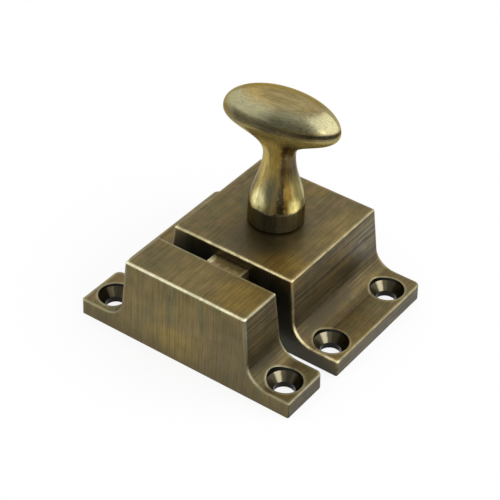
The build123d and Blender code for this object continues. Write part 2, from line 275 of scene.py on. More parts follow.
def brush_group():
    """Fine parallel scratches, along Y on the top and the flanks and along Z on front and rear.

    Fine is the hairline grain and Coarse the broader, slightly wavy strokes, each about 0.5.
    """
    tree, given, sink = new_group("brushed grain", ["Waver"], [grain[0] for grain in GRAINS])
    facing = split(tree, add(tree, "ShaderNodeTexCoord").outputs["Normal"])
    upright = ease(tree, math_node(tree, "ABSOLUTE", facing["Y"]), *UPRIGHT_FACING)
    wander = noise(tree, given["Vector"], SWAY_SCALE, detail=1.0)
    sway = product(tree, math_node(tree, "SUBTRACT", wander, 0.5), given["Waver"], SWAY_REACH)
    offset = add(tree, "ShaderNodeCombineXYZ", {0: sway, 1: 0.0, 2: sway}).outputs[0]
    swayed = vector_math(tree, "ADD", given["Vector"], offset)
    for label, across, along, detail in GRAINS:
        on_flat = streaks(tree, swayed, (across, along, across), detail, GRAIN_ROUGHNESS)
        on_standing = streaks(tree, swayed, (across, across, along), detail, GRAIN_ROUGHNESS)
        tree.links.new(mix(tree, upright, on_flat, on_standing), sink.inputs[label])
    return tree


# Bright edges with painted highlights, and painted shade: how far it looks for edges, corners and
# gaps, and what it makes of them
SHADE_SAMPLES = 6
EDGE_REACH = 0.7 * MM
CORNER_REACH = 5.0 * MM
GAP_REACH = 9.0 * MM
EDGE_RUN = (0.97, 0.79)
CORNER_PATINA_AND_SHADE_RUN = (0.98, 0.72)
DEEP_GAP_SHADE_RUN = (0.64, 0.38)
GAP_RING_SHADE_RUN = (0.95, 0.5)
OPEN_AIR_RUN = (0.3, 0.55)
BREAK_SCALE = 420.0
BREAK_RUN = (0.3, 0.65)
# From the flanges' height up to the top's, along the sides
SIDE_HEIGHTS = (4 * MM, 16 * MM)
SIDE_BRIGHTNESS = (0.3, 0.42)
FRONT_DEPTHS = (1.1 * MM, 0.6 * MM)
FOOT_HEIGHTS = (1.4 * MM, 3.0 * MM)
# Edges turned to the front right are painted brightest, as worn metal and as highlights: that side,
# and how bright edges turned away from it stay
BRIGHT_EDGE_SIDE = (0.8, -0.6, 0.0)
BRIGHT_EDGE_RUN = (-0.12, 0.12, 0.2, 1.0)
LYING_RUN = (0.02, 0.4, 0.12, 1.0)


def openness(tree, reach, **settings):
    """How open it is round each place, from 0 to 1, as far as the reach."""
    made = add(
        tree, "ShaderNodeAmbientOcclusion", {"Distance": reach}, samples=SHADE_SAMPLES, **settings
    )
    return made.outputs["AO"]


def edge_and_shade_group():
    """Outer edges that are worn bright and carry painted highlights, and places painted dark, each
    from 0 to 1.

    The edge mask is strongest on the front edge of the top, weaker along the sides, and weakest on
    upright edges and on those turned to the left and rear. The corner mask marks inner corners,
    where patina lies and painted shade is laid, and the two gap masks mark painted shade deep in
    gaps and in a wider ring round them.
    """
    tree, given, sink = new_group(
        "edges and painted shade",
        ["Breaks", "Front", "Low Brightness"],
        ["Rubbed", "Corner Patina And Shade", "Deep Gap Shade", "Gap Ring Shade"],
    )
    where = add(tree, "ShaderNodeTexCoord").outputs
    place = split(tree, where["Object"])
    edge = ease(tree, openness(tree, EDGE_REACH, inside=True, only_local=True), *EDGE_RUN)
    round_corner = openness(tree, CORNER_REACH, only_local=True)
    round_gap = openness(tree, GAP_REACH)

    broken = noise(tree, given["Vector"], BREAK_SCALE, detail=3.0, roughness=0.6)
    broken = ease(tree, broken, *BREAK_RUN)
    kept = math_node(tree, "SUBTRACT", 1.0, given["Breaks"])
    whole = math_node(tree, "MULTIPLY_ADD", broken, given["Breaks"], kept)

    on_sides = ease(tree, place["Z"], *SIDE_HEIGHTS, *SIDE_BRIGHTNESS)
    raised = ease(tree, place["Z"], *SIDE_HEIGHTS)
    span = math_node(tree, "SUBTRACT", 1.0, given["Low Brightness"])
    on_front = math_node(tree, "MULTIPLY_ADD", raised, span, given["Low Brightness"])
    near_front = ease(tree, math_node(tree, "SUBTRACT", place["Y"], given["Front"]), *FRONT_DEPTHS)
    extra = math_node(tree, "SUBTRACT", on_front, on_sides)
    worn_and_highlit = math_node(tree, "MULTIPLY_ADD", near_front, extra, on_sides)
    above_foot = ease(tree, place["Z"], *FOOT_HEIGHTS)
    facing_bright_side = ease(tree, vector_math(tree, "DOT_PRODUCT", where["Normal"], BRIGHT_EDGE_SIDE), *BRIGHT_EDGE_RUN)
    lying = ease(tree, split(tree, where["Normal"])["Z"], *LYING_RUN)
    open_air = ease(tree, round_gap, *OPEN_AIR_RUN)
    worn_and_highlit = product(tree, worn_and_highlit, above_foot, facing_bright_side, lying, open_air)

    # The bright edges, worn and with painted highlights; patina and painted shade in inner corners;
    # painted shade deep in gaps and in a wider ring round them
    tree.links.new(product(tree, edge, whole, worn_and_highlit), sink.inputs["Rubbed"])
    tree.links.new(ease(tree, round_corner, *CORNER_PATINA_AND_SHADE_RUN), sink.inputs["Corner Patina And Shade"])
    tree.links.new(ease(tree, round_gap, *DEEP_GAP_SHADE_RUN), sink.inputs["Deep Gap Shade"])
    tree.links.new(ease(tree, round_gap, *GAP_RING_SHADE_RUN), sink.inputs["Gap Ring Shade"])
    return tree


# Mottling
CLOUD_SCALE = 75.0
CLOUD_RUN = (0.32, 0.68)
SPOT_SCALE = 380.0
SPOT_RUN = (0.3, 0.7)


def mottle_group():
    """Slow, cloudy change of tone in the patina, and smaller spots in it, each from 0 to 1."""
    tree, given, sink = new_group("patina mottle", ["Size"], ["Clouds", "Spots"])
    fineness = math_node(tree, "DIVIDE", 1.0, given["Size"])
    clouds = noise(
        tree,
        given["Vector"],
        product(tree, fineness, CLOUD_SCALE),
        detail=3.0,
        roughness=0.55,
        distortion=0.4,
    )
    spots = noise(
        tree, given["Vector"], product(tree, fineness, SPOT_SCALE), detail=4.0, roughness=0.6
    )
    tree.links.new(ease(tree, clouds, *CLOUD_RUN), sink.inputs["Clouds"])
    tree.links.new(ease(tree, spots, *SPOT_RUN), sink.inputs["Spots"])
    return tree


BRUSHED = brush_group()
EDGES_AND_SHADE = edge_and_shade_group()
MOTTLED = mottle_group()


# What the materials are made with

# Share of a patch's radii within which it has its full strength
PATCH_CORE = 0.25


def bare_material(name):
    """A material with nothing in it yet, and the socket for its surface."""
    material = bpy.data.materials.new(name)
    material.use_nodes = True
    tree = material.node_tree
    tree.nodes.clear()
    output = tree.nodes.new("ShaderNodeOutputMaterial")
    return material, tree, output.inputs["Surface"]


def start_material(name):
    """A material with a Principled shader."""
    material, tree, surface = bare_material(name)
    shader = tree.nodes.new("ShaderNodeBsdfPrincipled")
    tree.links.new(shader.outputs[0], surface)
    return material, tree, shader


def patch_mask(tree, where, centre, radii, strength):
    """A soft oval spot: strength at its centre, 0 past its radii (all in millimetres)."""
    from_centre = vector_math(tree, "SUBTRACT", where, tuple(v * MM for v in centre))
    scaled = vector_math(tree, "MULTIPLY", from_centre, tuple(1 / (v * MM) for v in radii))
    return ease(tree, vector_math(tree, "LENGTH", scaled), 1.0, PATCH_CORE, 0.0, strength)


def patched(tree, tone, where, patches, broken=None):
    """A colour with soft oval patches on it, each given by centre, radii, colour and strength."""
    for centre, radii, patch_tone, strength in patches:
        spot = patch_mask(tree, where, centre, radii, strength)
        if broken is not None:
            spot = product(tree, spot, broken)
        tone = blend_colours(tree, spot, tone, patch_tone)
    return tone


# Screw holes: darkened where they were cut, as cut brass and as painted shade in the recess, with
# painted shade on their walls and a painted glint on one side of the cone
CUT_BRASS_AND_SHADE = colour(60, 54, 36)
CUT_ROUGHNESS = -0.1
SEAT_SHADE = colour(22, 21, 17)
SEAT_RADIUS = 3.5 * MM
SEAT_RIM = (SEAT_RADIUS + 0.08 * MM, SEAT_RADIUS + 0.02 * MM)
SEAT_FACING = (0.4, 0.1)
CONE_GLINT = colour(206, 196, 162)
CONE_GLINT_SIDE = (0.86, -0.51, 0.0)
CONE_GLINT_RUN = (0.725, 0.752, 0.0, 0.5)
# The underside round the holes stays as it is
UPWARD_FACING = (-0.6, -0.2)


def countersunk(tree, where, half_x, half_y, centre_y):
    """A mask that is 1 inside the screw holes and their countersinks."""
    place = split(tree, where)
    across = math_node(tree, "SUBTRACT", math_node(tree, "ABSOLUTE", place["X"]), half_x)
    from_centre = math_node(tree, "SUBTRACT", place["Y"], centre_y)
    along = math_node(tree, "SUBTRACT", math_node(tree, "ABSOLUTE", from_centre), half_y)
    flat = add(tree, "ShaderNodeCombineXYZ", {0: across, 1: along, 2: 0.0}).outputs[0]
    return ease(tree, vector_math(tree, "LENGTH", flat), *SEAT_RIM)


def with_holes(tree, where, holes, tone, dull):
    """The tone and the roughness of a casting with its screw holes."""
    upward = split(tree, where["Normal"])["Z"]
    cut = product(
        tree, countersunk(tree, where["Object"], *holes), ease(tree, upward, *UPWARD_FACING)
    )
    inwards = vector_math(tree, "DOT_PRODUCT", where["Normal"], CONE_GLINT_SIDE)
    # The countersinks darkened, partly with painted shade, then a painted glint on one side of each
    # cone, then painted shade on the walls
    tone = layered(
        tree,
        tone,
        (cut, CUT_BRASS_AND_SHADE),
        (product(tree, cut, ease(tree, inwards, *CONE_GLINT_RUN)), CONE_GLINT),
        (product(tree, cut, ease(tree, upward, *SEAT_FACING)), SEAT_SHADE),
    )
    return tone, math_node(tree, "MULTIPLY_ADD", cut, CUT_ROUGHNESS, dull)


# Antique brass: its metal and lacquer
PATINA_METAL = 0.9
EDGE_METAL = 0.25
LACQUER = 0.12
LACQUER_ROUGHNESS = 0.2
# Its patina, and the painted shade laid with it in corners and gaps
BRASS_MOTTLE = 1.0
DEEP_PATINA_AND_SHADE = colour(62, 54, 36)
GAP_PATINA_AND_SHADE = colour(48, 46, 34)
WARM_PATINA = colour(132, 110, 78)
GREEN_PATINA = colour(104, 100, 66)
BLUSH_SCALES = (420.0, 420.0, 90.0)
WARM_RUN = (0.5, 0.64, 0.0, 0.7)
GREEN_RUN = (0.48, 0.36, 0.0, 0.7)
SPOT_DEPTH = 0.3
CORNER_PATINA_AND_SHADE_DEPTH = 0.92
GAP_FACING = (0.5, 0.9)
# Its brushing, more of it on the flanks and most on the right one
BRASS_WAVER = 0.15
FLANK_FACING = (0.35, 0.9)
STREAK_RUN = (0.38, 0.66)
STREAK_DEPTH = 0.4
RIGHT_FLANK_DEPTH = 0.2
HAIRLINE_RUN = (0.3, 0.7, -0.5, 0.5)
HAIRLINE_LIFT = 0.42
STROKE_RUN = (0.62, 0.34, -0.5, 0.5)
STROKE_LIFT = 0.6
# The left flank, out of the photo, is brushed more finely than the right one
LEFT_TO_RIGHT = (-0.5, 0.5, 0.35, 1.0)
# What spots, hairlines, rubbed edges and flanks do to its roughness
SPOT_ROUGHNESS = 0.08
HAIRLINE_ROUGHNESS = 0.06
RUBBED_ROUGHNESS = -0.1
FLANK_ROUGHNESS = 0.08
COARSE_HEIGHT = 2.0
BRASS_BUMP = (0.35, 0.004 * MM)


def antique_brass(
    name,
    dark,
    body,
    golden,
    rubbed_and_highlit,
    offset,
    roughness=0.4,
    flank_shade=0.0,
    gap_side=0.0,
    front=-1.0,
    low_brightness=0.22,
    gap_ring_shade=0.6,
    holes=None,
    patches=(),
    breaks=0.5,
):
    """Antique brass: brown patina over brass, brushed, worn bright on its outer edges, with painted
    highlights on them, patina and painted shade in its corners, and painted shade on its flanks and
    in and round its gaps.

    offset moves the pattern, so that no two pieces share theirs. flank_shade darkens the flanks
    with painted shade. gap_side is 1 or -1 where the face towards +Y or -Y stands in a gap; that
    face is darkened, as patina that was never brushed and as painted shade. front is the y of the
    front face; the number after it says how bright that edge stays low down, worn and with a painted
    highlight, and the one after that how dark the painted shade round gaps is. breaks says how much
    the bright edges are interrupted. holes are half the distances between screw holes in x and y and
    the y of their middle.
    """
    material, tree, shader = start_material(name)
    where = add(tree, "ShaderNodeTexCoord").outputs
    facing = split(tree, where["Normal"])
    place = vector_math(tree, "ADD", where["Object"], offset)
    grain = shared(tree, BRUSHED, {"Vector": place, "Waver": BRASS_WAVER})
    mottle = shared(tree, MOTTLED, {"Vector": place, "Size": BRASS_MOTTLE})
    edges = {"Vector": place, "Breaks": breaks, "Front": front, "Low Brightness": low_brightness}
    edges_and_shade = shared(tree, EDGES_AND_SHADE, edges)
    flank = ease(tree, math_node(tree, "ABSOLUTE", facing["X"]), *FLANK_FACING)
    right_flank = ease(tree, facing["X"], *FLANK_FACING)

    blush = streaks(tree, place, BLUSH_SCALES, detail=2.0, roughness=0.55)
    tone = layered(
        tree,
        blend_colours(tree, mottle["Clouds"], body, golden),
        (ease(tree, blush, *WARM_RUN), WARM_PATINA),
        (ease(tree, blush, *GREEN_RUN), GREEN_PATINA),
    )
    tone = patched(tree, tone, where["Object"], patches)

    streak = ease(tree, grain["Coarse"], *STREAK_RUN)
    depth = math_node(tree, "MULTIPLY_ADD", right_flank, RIGHT_FLANK_DEPTH, STREAK_DEPTH)
    spotted = product(tree, mottle["Spots"], SPOT_DEPTH)
    darkened = math_node(tree, "MULTIPLY_ADD", streak, depth, spotted, clamp=True)
    tone = blend_colours(tree, darkened, tone, dark)
    hairline = ease(tree, grain["Fine"], *HAIRLINE_RUN)
    strokes = ease(tree, grain["Coarse"], *STROKE_RUN)
    strokes = product(tree, strokes, ease(tree, facing["X"], *LEFT_TO_RIGHT), flank)
    lift = math_node(tree, "MULTIPLY_ADD", hairline, HAIRLINE_LIFT, 1.0)
    lift = math_node(tree, "MULTIPLY_ADD", strokes, STROKE_LIFT, lift)
    shade = math_node(tree, "MULTIPLY_ADD", flank, -flank_shade, 1.0)
    tone = dimmed(tree, tone, product(tree, lift, shade))

    # Patina and painted shade in inner corners, then painted shade round gaps and on faces deep in a
    # gap, which are also unbrushed patina; last the bright edges, worn and with painted highlights
    tone = layered(
        tree,
        tone,
        (product(tree, edges_and_shade["Corner Patina And Shade"], CORNER_PATINA_AND_SHADE_DEPTH), DEEP_PATINA_AND_SHADE),
        (product(tree, edges_and_shade["Gap Ring Shade"], gap_ring_shade), DEEP_PATINA_AND_SHADE),
    )
    if gap_side:
        into_gap = ease(tree, product(tree, facing["Y"], gap_side), *GAP_FACING)
        tone = blend_colours(tree, product(tree, into_gap, edges_and_shade["Deep Gap Shade"]), tone, GAP_PATINA_AND_SHADE)
    tone = blend_colours(tree, edges_and_shade["Rubbed"], tone, rubbed_and_highlit)

    # Half the spots' change comes off first, so that they vary it both ways
    dull = roughness - SPOT_ROUGHNESS / 2
    for share, change in (
        (mottle["Spots"], SPOT_ROUGHNESS),
        (hairline, HAIRLINE_ROUGHNESS),
        (edges_and_shade["Rubbed"], RUBBED_ROUGHNESS),
        (flank, FLANK_ROUGHNESS),
    ):
        dull = math_node(tree, "MULTIPLY_ADD", share, change, dull)
    metal = math_node(tree, "MULTIPLY_ADD", edges_and_shade["Rubbed"], EDGE_METAL - PATINA_METAL, PATINA_METAL)
    if holes:
        tone, dull = with_holes(tree, where, holes, tone, dull)
    height = math_node(tree, "MULTIPLY_ADD", grain["Coarse"], COARSE_HEIGHT, grain["Fine"])
    finish = {
        "Base Color": tone,
        "Roughness": dull,
        "Metallic": metal,
        "Coat Weight": LACQUER,
        "Coat Roughness": LACQUER_ROUGHNESS,
        "Normal": bumped(tree, height, *BRASS_BUMP),
    }
    set_inputs(tree, shader, finish)
    return material


# The knob: its metal, lacquer and tones, with painted highlights, reflections and shade among them
KNOB_METAL = 0.92
STEM_METAL = 0.62
METAL_HEIGHTS = (40.0 * MM, 41.2 * MM)
KNOB_LACQUER = 0.1
KNOB_GLANCE = colour(214, 196, 146)
KNOB_BLUSH = colour(160, 130, 94)
# Painted light on the head: a pale grey highlight band, a paler tip that is partly a painted
# highlight, and a dark line of painted shade at the rim
SHEEN_GREY = colour(152, 150, 118)
TIP_PALE = colour(170, 162, 122)
RIM_SHADE = colour(64, 58, 40)
GREEN_SPOTS = colour(124, 120, 84)
# The collar's patina, darkened by a painted reflection of the case's top
COLLAR_PATINA_AND_REFLECTION = colour(92, 88, 74)
# Its patterns
KNOB_OFFSET = (0.0, 0.0, 0.03)
KNOB_MOTTLE = 0.8
HEAD_TURN = math.radians(9.5)
HEAD_FINE_SCALES = (330.0, 5200.0, 5200.0)
HEAD_BROAD_SCALES = (90.0, 1100.0, 1100.0)
STREAK_TURN = math.radians(-42)
STREAK_SCALE = 9.0
STREAK_RISE = 22.0
BLOTCH_SCALE = 900.0
# Its head, from the neck up
GRAIN_HEIGHTS = (36.0 * MM, 40.5 * MM)
HEAD_HEIGHTS = (40.2 * MM, 41.2 * MM)
HEAD_DARK_RUN = (0.5, 0.72, 0.0, 0.5)
HEAD_PALE_RUN = (0.5, 0.3, 0.0, 0.5)
BLUSH_RUN = (0.55, 0.75, 0.0, 0.3)
# The painted pale grey highlight band round the lower dome, and its strength
SHEEN_BAND = ((42.0 * MM, 42.8 * MM), (46.2 * MM, 44.6 * MM))
SHEEN_DEPTH = 0.8
# The paler right tip, partly worn brass and partly a painted highlight
TIP_LENGTHS = (7.5 * MM, 11.0 * MM)
TIP_DEPTH = 0.8
# The painted dark line at the rim, strongest towards the right tip, standing for the shade of a
# crease
RIM_LINE = ((41.0 * MM, 41.4 * MM), (42.2 * MM, 41.8 * MM))
RIM_LENGTHS = (3.0 * MM, 8.0 * MM, 0.3, 0.9)
# Its stem and collar
RAGGED = 0.05
BLOTCHED = 0.06
STEM_HEIGHTS = (27.5 * MM, 32.5 * MM)
STEM_UNEVEN = 3.0 * MM
PATCH_RUN = (0.28, 0.5, 0.35, 1.0)
GREEN_SPOT_RUN = (0.52, 0.72, 0.0, 0.4)
# Lighter gold painted under the head, where shade falls
UNDER_HEAD_HEIGHTS = (36.5 * MM, 39.5 * MM)
COLLAR_TOP = 22.2 * MM
COLLAR_RUN = (COLLAR_TOP, COLLAR_TOP + 0.5 * MM, 0.94, 0.0)
COLLAR_UNEVEN = 0.4 * MM
# Its light and relief
FINE_LIFT = (0.3, 0.7, 0.78, 1.18)
FINE_ROUGHNESS = (0.25, 0.75, 0.12, 0.24)
KNOB_BUMP = (0.4, 0.008 * MM)

# The stem's colour low down and high up, by its direction: degrees from the front, towards +X,
# and the colour there. They paint highlights, reflections and shade round the stem, with patina
# among them: bright at the front left and at the right edge, dark at the left edge and high up on
# the right, and a dark painted reflection in a streak at the front right.
STEM_LOW = (
    (-180, colour(165, 145, 92)),
    (150, colour(165, 145, 92)),
    (-64, colour(52, 44, 26)),
    (-46, colour(92, 80, 46)),
    (-28, colour(172, 154, 94)),
    (-8, colour(180, 166, 110)),
    (4, colour(150, 140, 98)),
    (14, colour(118, 110, 76)),
    (28, colour(136, 116, 70)),
    (36, colour(44, 34, 10)),
    (45, colour(28, 20, 4)),
    (52, colour(96, 74, 24)),
    (65, colour(138, 108, 44)),
    (75, colour(160, 142, 82)),
    (88, colour(116, 108, 64)),
    (102, colour(112, 104, 66)),
    (113, colour(176, 168, 120)),
    (124, colour(96, 86, 54)),
)
STEM_HIGH = (
    (-180, colour(165, 145, 92)),
    (150, colour(165, 145, 92)),
    (-64, colour(84, 72, 40)),
    (-24, colour(188, 165, 98)),
    (10, colour(180, 156, 84)),
    (32, colour(164, 138, 70)),
    (44, colour(62, 46, 20)),
    (62, colour(88, 70, 38)),
    (84, colour(84, 72, 46)),
    (98, colour(30, 27, 18)),
    (112, colour(34, 31, 20)),
    (124, colour(110, 98, 60)),
)
# Spots on the stem and on the head: centre, radii, colour and strength, in millimetres. On the
# stem, two painted highlights low down and a grey-green spot; on the head, painted dark reflections
# on its front.
STEM_HIGHLIGHTS_AND_SPOTS = (
    ((-1.1, -5.1, 24.3), (2.6, 2.4, 3.4), colour(255, 246, 178), 1.0),
    ((5.2, -1.5, 23.2), (1.9, 2.0, 2.6), colour(244, 228, 146), 0.95),
    ((1.0, -4.3, 27.2), (2.3, 2.2, 4.4), colour(116, 112, 84), 0.8),
)
# Painted dark reflections on the head's front
HEAD_DARK_REFLECTIONS = (
    ((-7.6, -4.9, 41.2), (5.2, 3.2, 2.2), colour(108, 105, 84), 0.75),
    ((-1.2, -5.4, 41.6), (6.5, 2.6, 1.7), colour(88, 90, 76), 0.45),
)


def head_tone(tree, along_head, height, clouds, blotch, dark, body, golden, pale):
    """The head: brushed lengthwise, with a painted pale grey highlight band round its lower dome, a
    paler right tip that is partly worn brass and partly a painted highlight, and a painted dark line
    at its rim.
    """
    broad = streaks(tree, along_head, HEAD_BROAD_SCALES, detail=2.0)
    lengthwise = split(tree, along_head)["X"]
    tip = ease(tree, lengthwise, *TIP_LENGTHS)
    line = between(tree, height, *RIM_LINE)
    return layered(
        tree,
        blend_colours(tree, clouds, body, golden),
        (ease(tree, broad, *HEAD_DARK_RUN), dark),
        (ease(tree, broad, *HEAD_PALE_RUN), pale),
        (ease(tree, blotch, *BLUSH_RUN), KNOB_BLUSH),
        (product(tree, between(tree, height, *SHEEN_BAND), SHEEN_DEPTH), SHEEN_GREY),
        (product(tree, tip, TIP_DEPTH), TIP_PALE),
        (product(tree, line, ease(tree, lengthwise, *RIM_LENGTHS)), RIM_SHADE),
    )


def stem_streaks(tree, where, height):
    """A grey noise in streaks that run down the round stem."""
    spun = turned(tree, where, STREAK_TURN)
    direction = vector_math(tree, "NORMALIZE", vector_math(tree, "MULTIPLY", spun, (1.0, 1.0, 0.0)))
    rise = add(tree, "ShaderNodeCombineXYZ", {2: product(tree, height, STREAK_RISE)}).outputs[0]
    down_stem = vector_math(tree, "ADD", direction, rise)
    return noise(tree, down_stem, STREAK_SCALE, detail=4.0, roughness=0.65)


def stem_tone(tree, where, height, fine, blotch, gold):
    """The stem: painted highlights, reflections and shade set by the direction from the axis, among
    patina in patches and streaks, and lighter gold painted under the head, where shade falls.
    """
    place = split(tree, where)
    angle = math_node(tree, "ARCTAN2", place["X"], product(tree, place["Y"], -1.0))
    turn_part = math_node(tree, "SUBTRACT", fine, 0.5)
    turn_part = math_node(tree, "MULTIPLY_ADD", turn_part, RAGGED, 0.5)
    blotched = math_node(tree, "SUBTRACT", blotch, 0.5)
    turn_part = math_node(tree, "MULTIPLY_ADD", blotched, BLOTCHED, turn_part)
    turn_part = math_node(tree, "MULTIPLY_ADD", angle, 1 / math.tau, turn_part)
    low_tone = colour_ramp(tree, turn_part, STEM_LOW)
    high_tone = colour_ramp(tree, turn_part, STEM_HIGH)
    uneven = math_node(tree, "MULTIPLY_ADD", blotch, STEM_UNEVEN, height)
    tone = blend_colours(tree, ease(tree, uneven, *STEM_HEIGHTS), low_tone, high_tone)
    # Two painted highlights low on the stem, and a grey-green spot
    tone = patched(tree, tone, where, STEM_HIGHLIGHTS_AND_SPOTS, ease(tree, blotch, *PATCH_RUN))
    # Grey-green spots, then lighter gold painted under the head, where shade falls
    return layered(
        tree,
        tone,
        (ease(tree, blotch, *GREEN_SPOT_RUN), GREEN_SPOTS),
        (ease(tree, height, *UNDER_HEAD_HEIGHTS), gold),
    )


def knob_brass(name, dark, body, golden, pale, stem_gold):
    """The knob's brass: brushed along its oval head, streaked down its stem, worn by hands, with
    painted highlights, reflections and shade on head, stem and collar.
    """
    material, tree, shader = start_material(name)
    where = add(tree, "ShaderNodeTexCoord").outputs["Object"]
    height = split(tree, where)["Z"]
    moved = vector_math(tree, "ADD", where, KNOB_OFFSET)
    mottle = shared(tree, MOTTLED, {"Vector": moved, "Size": KNOB_MOTTLE})
    blotch = noise(tree, where, BLOTCH_SCALE, detail=3.0, roughness=0.6)
    along_head = turned(tree, where, -HEAD_TURN)
    stem_fine = stem_streaks(tree, where, height)
    head_fine = streaks(tree, along_head, HEAD_FINE_SCALES, detail=3.0, roughness=0.65)
    fine = mix(tree, ease(tree, height, *GRAIN_HEIGHTS), stem_fine, head_fine)

    head = head_tone(tree, along_head, height, mottle["Clouds"], blotch, dark, body, golden, pale)
    stem = stem_tone(tree, where, height, stem_fine, blotch, stem_gold)
    tone = blend_colours(tree, ease(tree, height, *HEAD_HEIGHTS), stem, head)
    tone = patched(tree, tone, where, HEAD_DARK_REFLECTIONS)
    # The collar: patina and a painted dark reflection of the case's top
    uneven = math_node(tree, "MULTIPLY_ADD", mottle["Spots"], COLLAR_UNEVEN, height)
    on_collar = ease(tree, uneven, *COLLAR_RUN)
    tone = blend_colours(tree, on_collar, tone, COLLAR_PATINA_AND_REFLECTION)

    metal = ease(tree, height, *METAL_HEIGHTS, STEM_METAL, KNOB_METAL)
    dull = ease(tree, fine, *FINE_ROUGHNESS)
    finish = {
        "Base Color": dimmed(tree, tone, ease(tree, fine, *FINE_LIFT)),
        "Roughness": math_node(tree, "MULTIPLY_ADD", mottle["Spots"], SPOT_ROUGHNESS, dull),
        "Metallic": math_node(tree, "MAXIMUM", metal, on_collar),
        "Coat Weight": KNOB_LACQUER,
        "Coat Roughness": LACQUER_ROUGHNESS,
        "Specular Tint": KNOB_GLANCE,
        "Normal": bumped(tree, fine, *KNOB_BUMP),
    }
    set_inputs(tree, shader, finish)
    return material


# Steel
STEEL_WAVER = 0.3
STEEL_MOTTLE = 0.4
STEEL_CLOUDS = 0.2
STEEL_LEVEL = 0.85
STEEL_GRAIN = (0.2, 0.8)
STEEL_LIFT = (0.85, 1.1)
STEEL_CHANGE = (-0.06, 0.08)
STEEL_BUMP = (0.3, 0.003 * MM)


def steel(name, tint, roughness):
    """Plain steel with fine drawn or ground lines."""
    material, tree, shader = start_material(name)
    where = add(tree, "ShaderNodeTexCoord").outputs["Object"]
    fine = shared(tree, BRUSHED, {"Vector": where, "Waver": STEEL_WAVER})["Fine"]
    clouds = shared(tree, MOTTLED, {"Vector": where, "Size": STEEL_MOTTLE})["Clouds"]
    level = math_node(tree, "MULTIPLY_ADD", clouds, STEEL_CLOUDS, STEEL_LEVEL)
    level = product(tree, level, ease(tree, fine, *STEEL_GRAIN, *STEEL_LIFT))
    dull = (roughness + change for change in STEEL_CHANGE)
    finish = {
        "Base Color": dimmed(tree, tint, level),
        "Roughness": ease(tree, fine, *STEEL_GRAIN, *dull),
        "Metallic": 1.0,
        "Normal": bumped(tree, fine, *STEEL_BUMP),
    }
    set_inputs(tree, shader, finish)
    return material


# The materials

CASE_BRASS = antique_brass(
    "case antique brass",
    dark=colour(84, 74, 46),
    body=colour(116, 102, 64),
    golden=colour(134, 111, 56),
    rubbed_and_highlit=colour(250, 236, 182),
    roughness=0.36,
    flank_shade=0.47,
    gap_side=-1.0,
    front=-14.6 * MM,
    # Its front edge stays bright down to the foot, worn and with a painted highlight
    low_brightness=0.95,
    holes=(20.95 * MM, 10.1 * MM, 0.0),
    patches=(
        # A painted shadow and reflection of the knob on the top, in front of it
        ((1, -8.5, 17.5), (11, 8, 4), colour(62, 57, 40), 0.75),
        ((11.5, -12, 17.5), (9, 7, 4), colour(166, 134, 60), 0.75),
        ((12, 4, 17.5), (6, 10, 3), colour(156, 134, 76), 0.5),
        ((14, -11, 9), (3, 9, 9), colour(86, 80, 60), 0.5),
        # Painted shade along the right foot fillet
        ((16.4, -5, 5.2), (3, 13, 3.2), colour(60, 50, 28), 0.9),
        ((14.4, 11, 12), (3, 7, 7), colour(146, 137, 102), 0.6),
        # Painted shade along the left foot fillet
        ((-16.6, 0, 5.2), (2.8, 15, 3), colour(66, 58, 38), 0.7),
        # Painted shade on the front face, in the gap
        ((-11.5, -14.6, 10.6), (9, 1.3, 6.6), colour(34, 31, 22), 1.0),
        ((8, -14.6, 12.6), (9, 1.2, 4.4), colour(34, 31, 22), 0.8),
    ),
    offset=(0.012, 0.004, 0.0),
)
KEEPER_BRASS = antique_brass(
    "keeper antique brass",
    dark=colour(90, 79, 50),
    body=colour(122, 107, 63),
    golden=colour(130, 112, 60),
    rubbed_and_highlit=colour(255, 250, 208),
    flank_shade=0.52,
    gap_side=1.0,
    front=-29.9 * MM,
    holes=(20.3 * MM, 0.0, -24.85 * MM),
    patches=(
        # Lighter and more golden low on the left of the front, and painted shade on its right
        ((-2, -29.9, 4), (9, 3, 6), colour(146, 124, 60), 0.85),
        ((12, -29.9, 9), (9, 3, 13), colour(100, 90, 60), 0.7),
        ((10, -25, 18.1), (8, 7, 3), colour(168, 140, 68), 0.7),
        ((0, -25, 18.1), (7, 6, 3), colour(150, 130, 78), 0.4),
        ((-10, -25, 18.1), (7, 6, 3), colour(104, 97, 66), 0.5),
        # Painted shade along the right foot fillet
        ((15.5, -25, 6), (3, 7, 5), colour(70, 62, 46), 0.75),
    ),
    offset=(0.05, 0.02, 0.01),
    breaks=0.35,
)
KNOB_BRASS = knob_brass(
    "knob rubbed brass",
    dark=colour(122, 107, 76),
    body=colour(152, 135, 90),
    golden=colour(160, 139, 84),
    pale=colour(170, 156, 114),
    # Lighter gold painted under the head, where shade falls
    stem_gold=colour(146, 131, 76),
)
# The bolt: lighter tones and little painted shade round gaps, painted light against the shade of the
# gap it stands in
BOLT_BRASS = antique_brass(
    "bolt brass",
    dark=colour(126, 110, 70),
    body=colour(168, 148, 100),
    golden=colour(178, 152, 92),
    rubbed_and_highlit=colour(226, 212, 168),
    offset=(0.03, 0.0, 0.0),
    # A painted glint at the bolt's left end
    patches=(((-3.7, -16.5, 15.4), (1.3, 2.2, 1.5), colour(255, 244, 196), 1.0),),
    gap_ring_shade=0.15,
)
SHEET_BRASS = antique_brass(
    "sheet brass",
    dark=colour(110, 94, 58),
    body=colour(150, 130, 82),
    golden=colour(162, 138, 82),
    rubbed_and_highlit=colour(200, 182, 130),
    roughness=0.36,
    offset=(0.0, 0.06, 0.0),
)
CAM_STEEL = steel("oiled steel", colour(118, 118, 116), 0.34)
SCREW_STEEL = steel("plated steel", colour(164, 160, 148), 0.3)
SPRING_STEEL = steel("spring steel", colour(132, 134, 138), 0.28)

